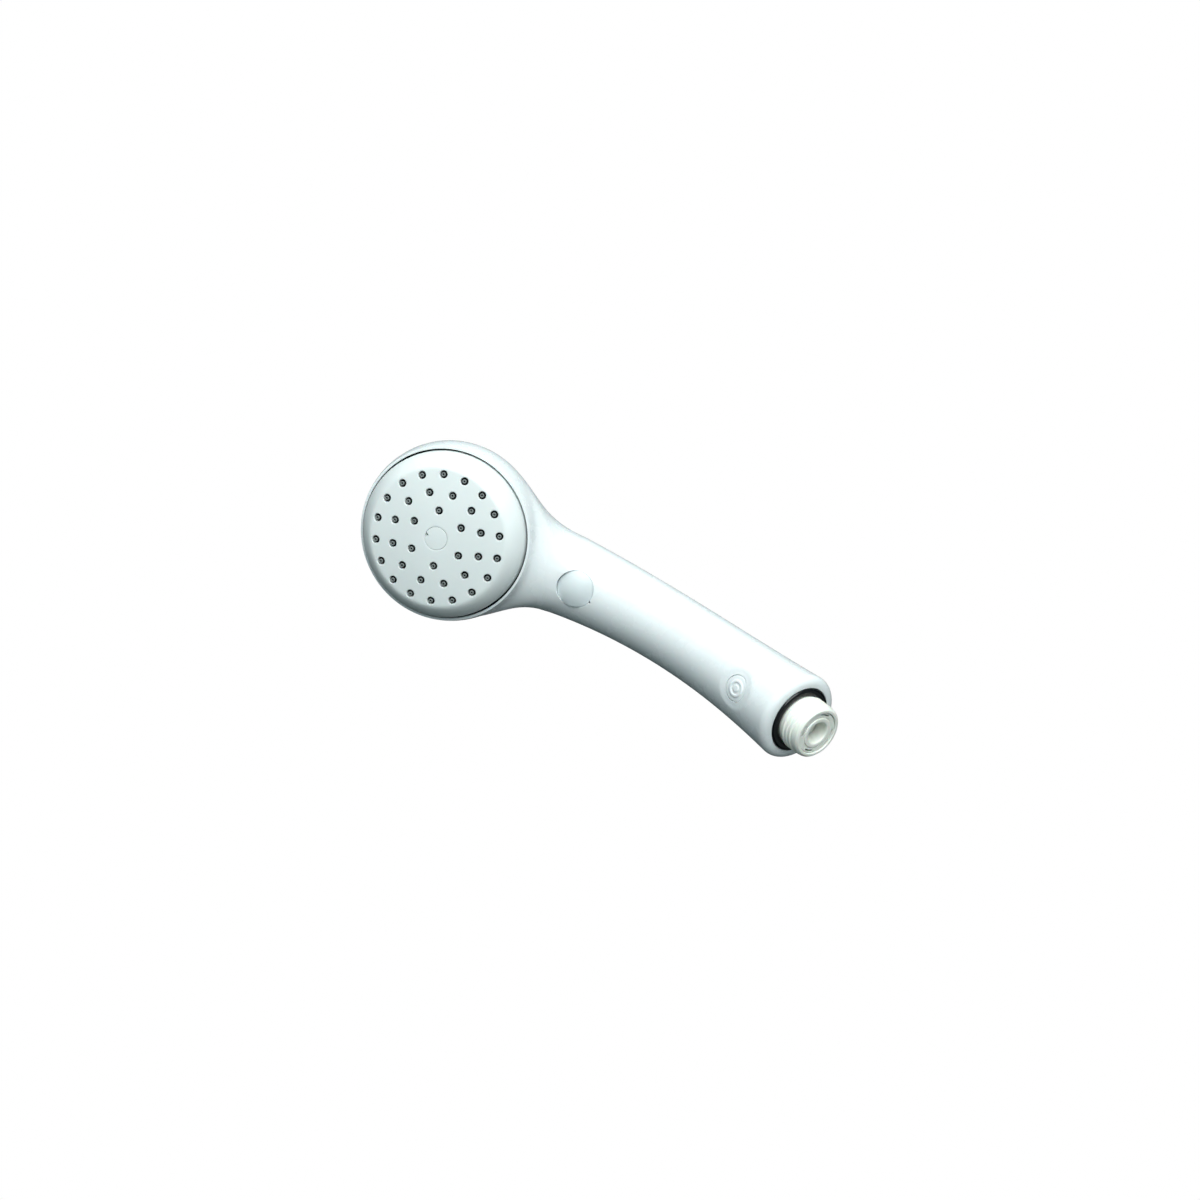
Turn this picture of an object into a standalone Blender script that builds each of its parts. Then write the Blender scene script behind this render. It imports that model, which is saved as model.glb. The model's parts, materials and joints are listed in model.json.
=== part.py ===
"""Handheld shower head with a thumb stop button, as separate named parts.

Frame: metres, +Z up. The origin is the centre of the hose spigot's end face, and +Z runs up the
spigot into the handle. The handle leans forward (-Y) as it rises, and the spray face looks
forward and down. X is side to side, and the whole part is symmetric about X = 0 apart from the
nozzle pattern.

Three local frames are used:
  connector  the world frame itself, about the spigot's axis
  head       origin on the spray axis at the shell's lip, +z along the spray, +y up the head
  valve      the head frame moved down the neck to the push button's axis
"""

import math

import bmesh
import bpy
import numpy as np
from mathutils import Matrix, Vector

MM = 0.001
GAP = 0.3                          # clearance between parts that touch, in mm

# ---- Driving dimensions, in mm and degrees ----
SPIGOT_LENGTH = 10.5               # spigot standing out of the handle's rim
SPIGOT_RADIUS = 10.48              # G1/2 male thread, 20.955 mm over its crests
THREAD_PITCH = 1.814
HANDLE_LENGTH = 118.7              # along the centreline, rim to neck
HANDLE_LEAN = (3.9, 38.7)          # lean = first * q + second * q^2, q = 0 rim, 1 neck
HANDLE_RADIUS = (17.1, -10.15, 9.3)    # radius = a + b * q + c * q^2
RIM_ROUND = 3.2                    # rounding of the handle's open end
FACE_TILT = 37.7                   # spray axis below the horizontal
HEAD_OFFSET = (46.0, 24.1)         # neck to head origin, along the head's +y and +z
BOWL_RADIUS = 35.0                 # widest part of the head shell
BOWL_Z = -9.0                      # where it is widest, behind the lip
BOWL_FRONT = 34.0                  # half depth of the bowl's ellipsoid, to the front
BOWL_BACK = 25.5                   # and to the back
BLEND = 17.4                       # size of the fillet between bowl and neck
BLEND_AT_LIP = 5.0                 # and where it starts, at the lip of the bowl
BLEND_DEPTH = 11.0                 # depth behind the lip at which it is full
WALL = 3.0                         # wall of the shell
REBATE_RADIUS = 32.9               # the shell's seat for the spray plate
REBATE_FLOOR = -5.4
PLATE_RADIUS = 32.1                # spray plate; the rest of the rebate is a groove round it
PLATE_HEIGHT = 11.3                # its crown above the lip
DOME_RADIUS = 181.0                # sphere of the spray plate's crown
BEVEL = (6.0, 8.2)                 # the plate's sloping edge, across and along the spray axis
SHOULDER = 0.5                     # share of it that rounds over from the face
NOZZLE_RINGS = ((10.7, 6, 106.5), (17.6, 12, 121.4), (24.5, 18, 126.4))  # radius, count, phase
NOZZLE_HOLE = 1.5
NOZZLE_TIP = 1.1
NOZZLE_BORE = 0.5
CAP_RADIUS = 4.3                   # cap over the centre screw
CAP_FLOOR = 10.15                  # its underside
BUTTON_Y = -53.5                   # button axis in the head frame
BUTTON_RADIUS = 7.2
BUTTON_TOP = -7.9                  # crown of its domed thumb face
BUTTON_DOME = 1.9                  # how far the face falls away to its edge
BUTTON_TRAVEL = 3.0                # of the stop button, along its axis
BADGE_Q = 0.18                     # place of the handle's badge, as a fraction from the rim
BADGE_RADIUS = 5.1
CHECK_LIFT = 2.5                   # travel of the non-return valve

# ---- Stop valve, in mm along the button's axis from the lip's plane ----
BODY_RADIUS = 7.8                  # outside of the valve body
BODY_FRONT = -15.9                 # its front rim
BODY_BACK = -33.9                  # its back rim
BODY_BORE = 6.2
BODY_SEAT = (-26.7, -25.5)         # the ledge that the poppet closes against
STEM_RADIUS = 1.6
BONNET_TOP = -17.6
INLET_Z = -29.4                    # where the water pipe meets the valve body
OUTLET_Z = -23.0
STEM_FOOT = BODY_SEAT[0] - GAP - 2.5               # under the poppet when it is shut
PLUG_TOP = STEM_FOOT - BUTTON_TRAVEL - 0.4         # the plug in the valve body's back

# ---- Hose connector, in mm up the spigot's axis ----
SEAT_TOP = 12.6                    # seat of the non-return valve
CHAMBER = 8.4                      # bore of the spigot above that seat
NIPPLE_TOP = 29.8
RIM_BORE = 13.0                    # bore in the handle that takes the nipple

CROWN_SECTIONS = 8                 # sections of the shell from its crown to the spray axis
FLARE_SECTIONS = 9                 # and from there down to the neck
SMOOTH_ANGLE = 35                  # degrees; sharper edges stay crisp
CUTTER_TURN = 0.07                 # radians; keeps cutter edges off the plane of symmetry

COLLECTION = "handheld_shower_head"
COLORS = {                         # colour, roughness, metallic
    "white_abs": ((0.86, 0.89, 0.89), 0.28, 0.0),
    "satin_abs": ((0.78, 0.82, 0.81), 0.42, 0.0),
    "grey_rubber": ((0.42, 0.44, 0.43), 0.6, 0.0),
    "black_rubber": ((0.012, 0.012, 0.014), 0.25, 0.0),
    "ivory_pom": ((0.80, 0.82, 0.74), 0.35, 0.0),
    "natural_pom": ((0.83, 0.83, 0.78), 0.45, 0.0),
    "steel": ((0.6, 0.6, 0.6), 0.3, 1.0),
    "brass": ((0.72, 0.55, 0.28), 0.3, 1.0),
}


# ---- Scene helpers ----

def clear_scene():
    for obj in list(bpy.data.objects):
        bpy.data.objects.remove(obj, do_unlink=True)


def new_collection(name):
    collection = bpy.data.collections.new(name)
    bpy.context.scene.collection.children.link(collection)
    return collection


def material(name):
    found = bpy.data.materials.get(name)
    if found:
        return found
    color, roughness, metallic = COLORS[name]
    made = bpy.data.materials.new(name)
    made.use_nodes = True
    shader = made.node_tree.nodes["Principled BSDF"]
    shader.inputs["Base Color"].default_value = (*color, 1.0)
    shader.inputs["Roughness"].default_value = roughness
    shader.inputs["Metallic"].default_value = metallic
    made.diffuse_color = (*color, 1.0)
    return made


def add_object(name, mesh, finish, parent=None, location=(0, 0, 0)):
    """Link a mesh as a part, or as a hidden cutter when finish is None. location is in mm."""
    obj = bpy.data.objects.new(name, mesh)
    (CUTTERS if finish is None else PARTS).objects.link(obj)
    obj.parent = parent
    obj.location = Vector(location) * MM
    if finish is None:
        obj.hide_render = True
        obj.display_type = "WIRE"
    else:
        mesh.materials.append(material(finish))
        mesh.shade_smooth()
        mesh.set_sharp_from_angle(angle=math.radians(SMOOTH_ANGLE))
    return obj


def empty(name, location, tilt, parent=None):
    obj = bpy.data.objects.new(name, None)
    PARTS.objects.link(obj)
    obj.parent = parent
    obj.location = Vector(location) * MM
    obj.rotation_euler = (math.radians(tilt), 0, 0)
    return obj


def boolean(obj, other, operation="DIFFERENCE"):
    step = obj.modifiers.new(operation.lower() + "_" + other.name, "BOOLEAN")
    step.operation = operation
    step.object = other
    step.solver = "EXACT"


# ---- Shape builders, all in mm ----

def turned(name, profile, finish, parent=None, steps=24):
    """Turn a closed (radius, z) outline about the local z axis with a Screw modifier.

    An outline that starts and ends on the axis is left open there.
    """
    area = sum(a[0] * b[1] - b[0] * a[1] for a, b in zip(profile, profile[1:] + profile[:1]))
    if area > 0:
        profile = profile[::-1]
    on_axis = min(r for r, _ in profile) < 1e-6
    if on_axis:
        first = next(i for i in range(len(profile))
                     if profile[i][0] < 1e-6 and profile[i - 1][0] < 1e-6)
        profile = profile[first:] + profile[:first]
    count = len(profile)
    edges = [(i, i + 1) for i in range(count - 1)]
    if not on_axis:
        edges.append((count - 1, 0))
    mesh = bpy.data.meshes.new(name)
    mesh.from_pydata([(r * MM, 0, z * MM) for r, z in profile], edges, [])
    obj = add_object(name, mesh, finish, parent)
    if finish is None:
        obj.rotation_euler.z = CUTTER_TURN
    screw = obj.modifiers.new("turn", "SCREW")
    screw.axis = "Z"
    screw.steps = screw.render_steps = steps
    screw.use_merge_vertices = True
    screw.merge_threshold = 0.00001
    screw.use_smooth_shade = True
    return obj


def ring_profile(inner, outer, low, high, chamfer=0.0):
    """Outline of a plain ring or sleeve with chamfered outer corners."""
    if chamfer == 0.0:
        return [(inner, high), (outer, high), (outer, low), (inner, low)]
    return [(inner, high), (outer - chamfer, high), (outer, high - chamfer),
            (outer, low + chamfer), (outer - chamfer, low), (inner, low)]


def o_ring(name, centre_radius, cord_radius, z, parent=None):
    outline = []
    for i in range(6):
        turn = -math.tau * i / 6
        outline.append((centre_radius + cord_radius * math.cos(turn),
                        z + cord_radius * math.sin(turn)))
    return turned(name, outline, "black_rubber", parent, steps=20)


def cylinders(name, places, radii, low, high, sides, finish=None, parent=None):
    """Straight or tapered cylinders standing at several (x, y), as one mesh."""
    mesh = bpy.data.meshes.new(name)
    shape = bmesh.new()
    for x, y in places:
        matrix = Matrix.Translation(Vector((x, y, (low + high) / 2)) * MM)
        bmesh.ops.create_cone(shape, cap_ends=True, segments=sides, radius1=radii[0] * MM,
                              radius2=radii[1] * MM, depth=(high - low) * MM, matrix=matrix)
    shape.to_mesh(mesh)
    shape.free()
    return add_object(name, mesh, finish, parent)


def arc_slot_cutter(name, inner, outer, low, high, centre_deg, span_deg, parent=None):
    """A curved slot: part of a ring between two angles."""
    mesh = bpy.data.meshes.new(name)
    shape = bmesh.new()
    loops = []
    count = 8
    for radius, z in ((inner, low), (outer, low), (outer, high), (inner, high)):
        loop = []
        for i in range(count):
            angle = math.radians(centre_deg - span_deg / 2 + span_deg * i / (count - 1))
            point = Vector((radius * math.cos(angle), radius * math.sin(angle), z)) * MM
            loop.append(shape.verts.new(point))
        loops.append(loop)
    for k in range(4):
        here, after = loops[k], loops[(k + 1) % 4]
        for i in range(count - 1):
            shape.faces.new((here[i], here[i + 1], after[i + 1], after[i]))
    shape.faces.new([loop[0] for loop in loops])
    shape.faces.new([loop[-1] for loop in reversed(loops)])
    bmesh.ops.recalc_face_normals(shape, faces=shape.faces)
    shape.to_mesh(mesh)
    shape.free()
    return add_object(name, mesh, None, parent)


def loft(name, rings, finish, parent=None, closed_loop=False):
    """Skin a list of rings of points, with end caps or joined end to end."""
    mesh = bpy.data.meshes.new(name)
    shape = bmesh.new()
    loops = [[shape.verts.new(Vector(p) * MM) for p in ring] for ring in rings]
    pairs = list(zip(loops, loops[1:]))
    if closed_loop:
        pairs.append((loops[-1], loops[0]))
    for low, high in pairs:
        for i in range(len(low)):
            j = (i + 1) % len(low)
            shape.faces.new((low[i], low[j], high[j], high[i]))
    if not closed_loop:
        shape.faces.new(loops[0])
        shape.faces.new(loops[-1])
    bmesh.ops.recalc_face_normals(shape, faces=shape.faces)
    shape.to_mesh(mesh)
    shape.free()
    return add_object(name, mesh, finish, parent)


def coil_spring(name, radius, wire, low, high, turns, parent=None):
    """A compression spring with closed ends, wound about the local z axis."""
    per_turn = 8
    closed = 0.75                                     # flat turns at each end
    total = turns + 2 * closed
    count = int(total * per_turn)
    curve = bpy.data.curves.new(name, "CURVE")
    curve.dimensions = "3D"
    curve.bevel_depth = wire * MM
    curve.bevel_resolution = 2
    curve.use_fill_caps = True
    spline = curve.splines.new("POLY")
    spline.points.add(count)
    rise = high - low - 2 * wire
    flat = 2.2 * wire / rise                          # share of the rise in each closed end
    for i in range(count + 1):
        turn = total * i / count
        share = flat * min(turn / closed, 1.0)
        share += (1 - 2 * flat) * min(max((turn - closed) / turns, 0.0), 1.0)
        share += flat * max((turn - closed - turns) / closed, 0.0)
        z = low + wire + rise * share
        angle = math.tau * turn
        point = Vector((radius * math.cos(angle), radius * math.sin(angle), z)) * MM
        spline.points[i].co = (*point, 1.0)
    obj = bpy.data.objects.new(name, curve)
    PARTS.objects.link(obj)
    obj.parent = parent
    curve.materials.append(material("steel"))


# ---- The handle's centreline and the outer skin ----

def centreline(samples=241, stretch=1.30):
    """Points, lean angles and radii from the rim to inside the head, in the Y-Z plane (mm)."""
    q = np.linspace(0.0, stretch, samples)
    shape_q = np.minimum(q, 1.0)
    lean = np.radians(HANDLE_LEAN[0] * shape_q + HANDLE_LEAN[1] * shape_q ** 2)
    step = HANDLE_LENGTH * (q[1] - q[0])
    middle = (lean[1:] + lean[:-1]) / 2
    y = np.concatenate([[0.0], np.cumsum(-np.sin(middle) * step)])
    z = SPIGOT_LENGTH + np.concatenate([[0.0], np.cumsum(np.cos(middle) * step)])
    radius = HANDLE_RADIUS[0] + HANDLE_RADIUS[1] * shape_q + HANDLE_RADIUS[2] * shape_q ** 2
    return q, y, z, lean, radius


def at_q(values, where):
    return float(np.interp(where, LINE_Q, values))


def head_origin():
    tilt = math.radians(FACE_TILT)
    up, out = HEAD_OFFSET
    y, z = at_q(LINE_Y, 1.0), at_q(LINE_Z, 1.0)
    return (0.0, y - up * math.sin(tilt) - out * math.cos(tilt),
            z + up * math.cos(tilt) - out * math.sin(tilt))


def skin(points):
    """Smooth distance from the outer surface of bowl and handle, negative inside (mm)."""
    tilt = math.radians(FACE_TILT)
    _, hy, hz = HEAD
    dy, dz = points[:, 1] - hy, points[:, 2] - hz
    x = points[:, 0]
    up = -dy * math.sin(tilt) + dz * math.cos(tilt)
    out = -dy * math.cos(tilt) - dz * math.sin(tilt) - BOWL_Z
    depth = np.where(out > 0, BOWL_FRONT, BOWL_BACK)
    scaled = np.sqrt((x * x + up * up) / BOWL_RADIUS ** 2 + (out / depth) ** 2)
    slope = np.sqrt((x * x + up * up) / BOWL_RADIUS ** 4 + out ** 2 / depth ** 4) + 1e-9
    bowl = scaled * (scaled - 1.0) / slope
    gap_y = points[:, 1][:, None] - LINE_Y[None, :]
    gap_z = points[:, 2][:, None] - LINE_Z[None, :]
    reach = np.sqrt(x[:, None] ** 2 + gap_y ** 2 + gap_z ** 2) - LINE_R[None, :]
    handle = reach.min(axis=1)
    behind_lip = np.clip(-(out + BOWL_Z) / BLEND_DEPTH, 0.0, 1.0)
    blend = (BLEND_AT_LIP
             + (BLEND - BLEND_AT_LIP) * behind_lip * behind_lip * (3 - 2 * behind_lip))
    mix = np.maximum(blend - np.abs(bowl - handle), 0.0) / blend
    return np.minimum(bowl, handle) - mix * mix * blend / 4


def smooth_step(value):
    value = min(max(value, 0.0), 1.0)
    return value * value * (3 - 2 * value)


def skin_rings(level, q_low, around, handle_sections, rim_round=0.0):
    """Rings on the surface where skin equals level, from the head's crown to q_low."""
    tilt = math.radians(FACE_TILT)
    up_head = np.array([0.0, -math.sin(tilt), math.cos(tilt)])
    top = BOWL_RADIUS + level
    planes = []
    crown = [top * math.cos(math.pi * (0.03 + 0.47 * i / CROWN_SECTIONS))
             for i in range(CROWN_SECTIONS)]
    for along in crown + list(np.linspace(-1.3, 4.0 - HEAD_OFFSET[0], FLARE_SECTIONS)):
        share = smooth_step((top - along) / (top + HEAD_OFFSET[0]))
        drop = BOWL_Z - (HEAD_OFFSET[1] + BOWL_Z) * share
        centre = np.array([0.0, HEAD[1] - drop * math.cos(tilt), HEAD[2] - drop * math.sin(tilt)])
        planes.append((centre + along * up_head, up_head, 0.0))
    rim_q = rim_round / HANDLE_LENGTH
    ends = list(np.linspace(1.0, q_low + rim_q, handle_sections))
    rounds = [0.0] * handle_sections
    for k in range(1, 4 if rim_round else 1):
        turn = math.pi / 2 * k / 3
        ends.append(q_low + rim_q * (1 - math.sin(turn)))
        rounds.append(rim_round * (1 - math.cos(turn)))
    for where, inset in zip(ends, rounds):
        lean = at_q(LINE_LEAN, where)
        centre = np.array([0.0, at_q(LINE_Y, where), at_q(LINE_Z, where)])
        planes.append((centre, np.array([0.0, -math.sin(lean), math.cos(lean)]), inset))
    rings = []
    for centre, normal, inset in planes:
        side = np.array([1.0, 0.0, 0.0])
        front = np.cross(side, normal)
        angles = math.tau * np.arange(around) / around
        rays = np.cos(angles)[:, None] * side + np.sin(angles)[:, None] * front
        near, far = np.zeros(around), np.full(around, 60.0)
        for _ in range(22):
            middle = (near + far) / 2
            inside = skin(centre + middle[:, None] * rays) < level
            near, far = np.where(inside, middle, near), np.where(inside, far, middle)
        rings.append([tuple(p) for p in centre + np.maximum(near - inset, 0.05)[:, None] * rays])
    return rings


def tube_rings(q_low, q_high, radius, around, sections, back_offset):
    """Rings of a pipe that follows the centreline, easing backward by back_offset."""
    rings = []
    for where in np.linspace(q_low, q_high, sections):
        lean = at_q(LINE_LEAN, where)
        front = np.array([0.0, -math.cos(lean), -math.sin(lean)])
        ease = smooth_step((where - 0.25) / 0.5)
        centre = np.array([0.0, at_q(LINE_Y, where), at_q(LINE_Z, where)])
        centre = centre - back_offset * ease * front
        ring = []
        for i in range(around):
            angle = math.tau * i / around
            point = centre + radius * math.sin(angle) * front
            ring.append((radius * math.cos(angle), point[1], point[2]))
        rings.append(ring)
    return rings


# ---- Shell ----

def make_body_shell():
    """The moulded shell: bowl, neck and handle in one, open at the face, button and rim."""
    shell = loft("body_shell", skin_rings(0.0, 0.0, 30, 10, RIM_ROUND), "white_abs")
    front = turned("cut_front", [(0, 60), (60, 60), (60, 0), (REBATE_RADIUS, 0),
                                 (REBATE_RADIUS, REBATE_FLOOR), (0, REBATE_FLOOR)],
                   None, HEAD_FRAME, steps=44)
    boolean(shell, front)
    boolean(shell, loft("cut_hollow", skin_rings(-WALL, 0.10, 20, 7), None))
    ledge = turned("add_ledge", ring_profile(28.6, 33.6, -9.0, -5.5), None, HEAD_FRAME, steps=32)
    boolean(shell, ledge, "UNION")
    pillar = turned("add_pillar", ring_profile(0, 5.6, -36.0, -3.3), None, HEAD_FRAME, steps=16)
    boolean(shell, pillar, "UNION")
    boolean(shell, turned("cut_insert", ring_profile(0, 3.5, -16.0, 0), None, HEAD_FRAME,
                          steps=16))
    boolean(shell, turned("cut_button", ring_profile(0, BUTTON_RADIUS + GAP, -15, 10), None,
                          VALVE_FRAME))
    boolean(shell, turned("cut_rim_bore", ring_profile(0, RIM_BORE, 0, 34), None))
    boolean(shell, turned("cut_badge", ring_profile(0, BADGE_RADIUS + GAP, -2.0, 4), None,
                          BADGE_FRAME))


def make_badge():
    """Plain raised disc with one concentric groove, set in a pocket of the handle."""
    top, edge = -0.25, BADGE_RADIUS
    outline = [(0, top), (1.7, top), (1.9, top - 0.3), (2.5, top - 0.3), (2.7, top),
               (edge - 0.6, top - 0.1), (edge, top - 0.6), (edge, -1.7), (0, -1.7)]
    turned("handle_badge", outline, "white_abs", BADGE_FRAME)


# ---- Spray head ----

def dome(radius, drop=0.0):
    return PLATE_HEIGHT - drop - radius * radius / (2 * DOME_RADIUS)


def dome_outline(edge, drop, across, along, floor, start=0.0):
    """Outline points from radius start out over the crown and round the edge down to floor."""
    points = [(r, dome(r, drop)) for r in np.linspace(start, edge - across, 3)]
    top = dome(edge - across, drop)
    for k in range(1, 5):
        turn = math.pi / 2 * k / 4
        reach = math.sin(turn)
        slope = reach * reach / (reach + SHOULDER) * (1 + SHOULDER)
        fall = (1 - math.cos(turn) + slope) / 2
        points.append((edge - across + across * reach, top - along * fall))
    points.append((edge, floor))
    return points


def nozzle_places():
    places = []
    for radius, count, phase in NOZZLE_RINGS:
        for i in range(count):
            angle = math.radians(phase - 360.0 * i / count)
            places.append((radius * math.sin(angle), -radius * math.cos(angle)))
    return places


def make_spray_plate():
    hole = CAP_RADIUS + GAP
    outer = dome_outline(PLATE_RADIUS, 0.0, *BEVEL, -3.0, start=hole)
    inner = dome_outline(PLATE_RADIUS - 2.5, 2.6, 3.0, 6.2, -3.0, start=5.2)
    boss = [(5.2, 4.6), (2.3, 4.6), (2.3, 6.9), (4.0, 6.9), (4.0, 9.9), (hole, 9.9)]
    plate = turned("spray_plate", outer + inner[::-1] + boss, "satin_abs", HEAD_FRAME, steps=40)
    holes = cylinders("cut_nozzles", nozzle_places(), (NOZZLE_HOLE, NOZZLE_HOLE), 0, 14, 7,
                      parent=HEAD_FRAME)
    boolean(plate, holes)


def make_nozzle_mat():
    """Rubber mat with a soft nozzle through each hole of the plate."""
    crown = [(r, dome(r, 3.0)) for r in np.linspace(5.6, 26.2, 3)]
    under = [(r, z - 1.5) for r, z in crown]
    mat = turned("nozzle_mat", crown + under[::-1], "grey_rubber", HEAD_FRAME)
    for radius, count, phase in NOZZLE_RINGS:
        places = nozzle_places()
        ring = [p for p in places if abs(math.hypot(*p) - radius) < 0.01]
        nubs = cylinders(f"add_nubs_{count}", ring, (1.3, NOZZLE_TIP), dome(radius, 4.0),
                         dome(radius) + 0.35, 7, parent=HEAD_FRAME)
        boolean(mat, nubs, "UNION")
    bores = cylinders("cut_bores", nozzle_places(), (NOZZLE_BORE, NOZZLE_BORE), 0, 14, 5,
                      parent=HEAD_FRAME)
    boolean(mat, bores)


def make_distributor():
    """Perforated backing plate that holds the mat against the spray plate."""
    outline = [(2.3, 4.3), (4.9, 4.3), (4.9, -0.6), (24.8, -0.6), (24.8, 4.4), (26.4, 4.4),
               (26.4, -0.6), (29.2, -0.6), (29.2, -2.8), (2.3, -2.8)]
    disc = turned("distributor_plate", outline, "natural_pom", HEAD_FRAME)
    places = [(15 * math.cos(math.tau * i / 12), 15 * math.sin(math.tau * i / 12))
              for i in range(12)]
    boolean(disc, cylinders("cut_ports", places, (2.3, 2.3), -6, 3, 6, parent=HEAD_FRAME))


def make_head_fasteners():
    """The centre screw that holds the plate's stack together, its insert, seal and cap."""
    turned("screw_insert", ring_profile(2.2, 3.2, -14.0, -3.5), "brass", HEAD_FRAME, steps=20)
    outline = [(0, 9.6), (3.3, 9.6), (3.6, 9.2), (3.6, 8.1), (1.9, 8.1), (1.9, -12.5),
               (1.4, -13.2), (0, -13.2)]
    screw = turned("centre_screw", outline, "steel", HEAD_FRAME, steps=20)
    for k, turn in enumerate((0, 90)):
        mesh = bpy.data.meshes.new("cut_drive")
        shape = bmesh.new()
        bmesh.ops.create_cube(shape, size=1.0)
        bmesh.ops.scale(shape, vec=Vector((4.2, 0.9, 1.6)) * MM, verts=shape.verts)
        shape.to_mesh(mesh)
        shape.free()
        blade = add_object(f"cut_drive_{k}", mesh, None, HEAD_FRAME, (0, 0, 9.5))
        blade.rotation_euler = (0, 0, math.radians(turn))
        boolean(screw, blade)
    turned("screw_washer", ring_profile(2.2, 3.7, 7.2, 7.8), "black_rubber", HEAD_FRAME, steps=20)
    outline = [(0, dome(0)), (CAP_RADIUS - 0.25, dome(CAP_RADIUS)),
               (CAP_RADIUS, dome(CAP_RADIUS) - 0.25), (CAP_RADIUS, CAP_FLOOR), (0, CAP_FLOOR)]
    cap = turned("screw_cap", outline, "satin_abs", HEAD_FRAME)
    notch = cylinders("cut_notch", [(0, CAP_RADIUS + 0.4)], (1.5, 1.5), CAP_FLOOR - 0.5, 12, 3,
                      parent=HEAD_FRAME)
    boolean(cap, notch)
    turned("face_seal", ring_profile(29.2, REBATE_RADIUS - GAP, REBATE_FLOOR + GAP, -3.3),
           "black_rubber", HEAD_FRAME, steps=40)


# ---- Stop valve, in the valve frame about the button's axis ----

def side_port(name, radius, z, low, high):
    """Cutter for a round port that runs along the head's y axis."""
    port = cylinders(name, [(0, 0)], (radius, radius), low, high, 16, parent=VALVE_FRAME)
    port.location = Vector((0, 0, z)) * MM
    port.rotation_euler = (math.radians(-90), 0, 0)
    return port


def make_stop_valve():
    """The valve body with its ports, its plug at the back and its bonnet at the front."""
    seat_low, seat_high = BODY_SEAT
    body = turned("valve_body",
                  [(BODY_BORE, BODY_FRONT), (BODY_RADIUS, BODY_FRONT), (BODY_RADIUS, BODY_BACK),
                   (BODY_BORE, BODY_BACK), (BODY_BORE, seat_low), (3.6, seat_low),
                   (3.6, seat_high), (BODY_BORE, seat_high)],
                  "natural_pom", VALVE_FRAME)
    boolean(body, side_port("cut_inlet", 2.5, INLET_Z, -12, 0))
    boolean(body, side_port("cut_outlet", 2.2, OUTLET_Z, 0, 12))
    plug = BODY_BORE - GAP
    turned("valve_base", [(0, PLUG_TOP), (plug - 0.4, PLUG_TOP), (plug, PLUG_TOP - 0.3),
                          (plug, BODY_BACK), (0, BODY_BACK)], "ivory_pom", VALVE_FRAME)
    bore = STEM_RADIUS + GAP
    gland = BONNET_TOP - 1.6
    turned("valve_bonnet",
           [(bore, BONNET_TOP), (plug, BONNET_TOP), (plug, gland - 1.2), (2.9, gland - 1.2),
            (2.9, gland), (bore, gland)], "ivory_pom", VALVE_FRAME)
    o_ring("stem_o_ring", 2.37, 0.42, -19.8, VALVE_FRAME)
    clip = turned("bonnet_circlip", ring_profile(5.5, 5.95, BONNET_TOP + GAP, BONNET_TOP + 0.9),
                  "steel", VALVE_FRAME)
    boolean(clip, arc_slot_cutter("cut_clip_gap", 5.0, 6.5, -18, -16, 90, 40, VALVE_FRAME))


def make_button_group():
    """The push button with its stem, seal, return spring and latch, drawn at rest."""
    edge_z = BUTTON_TOP - BUTTON_DOME
    skirt = BODY_FRONT + BUTTON_TRAVEL + 0.7
    under = BUTTON_TOP - 2.6
    socket = BUTTON_TOP - 3.7
    crown = [(r, BUTTON_TOP - BUTTON_DOME * (r / BUTTON_RADIUS) ** 2) for r in (0, 3.0, 5.2, 6.6)]
    outline = crown + [(BUTTON_RADIUS, edge_z - 0.2), (BUTTON_RADIUS, skirt), (6.3, skirt),
                       (6.3, under), (3.0, under), (3.0, socket), (0, socket)]
    turned("push_button", outline, "white_abs", BUTTON_FRAME, steps=28)
    head = socket - GAP
    flange = STEM_FOOT + 0.8
    stem = [(0, head), (STEM_RADIUS, head), (STEM_RADIUS, flange), (3.0, flange),
            (3.0, STEM_FOOT), (0, STEM_FOOT)]
    turned("valve_stem", stem, "steel", BUTTON_FRAME, steps=20)
    turned("poppet_seal", ring_profile(STEM_RADIUS + GAP, 5.4, flange + GAP,
                                       BODY_SEAT[0] - GAP, 0.3), "black_rubber", BUTTON_FRAME)
    coil_spring("button_spring", 4.9, 0.35, BONNET_TOP + GAP, under - GAP, 3.5, BUTTON_FRAME)
    rotor_z = BONNET_TOP + GAP + BUTTON_TRAVEL
    rotor = turned("latch_rotor", ring_profile(STEM_RADIUS + GAP, 4.2, rotor_z, rotor_z + 1.4),
                   "natural_pom", BUTTON_FRAME)
    teeth = [(4.4 * math.cos(math.tau * i / 8), 4.4 * math.sin(math.tau * i / 8))
             for i in range(8)]
    boolean(rotor, cylinders("cut_teeth", teeth, (0.9, 0.9), -16, -11, 8, parent=BUTTON_FRAME))


# ---- Hose connector, in the world frame about the spigot's axis ----

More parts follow.
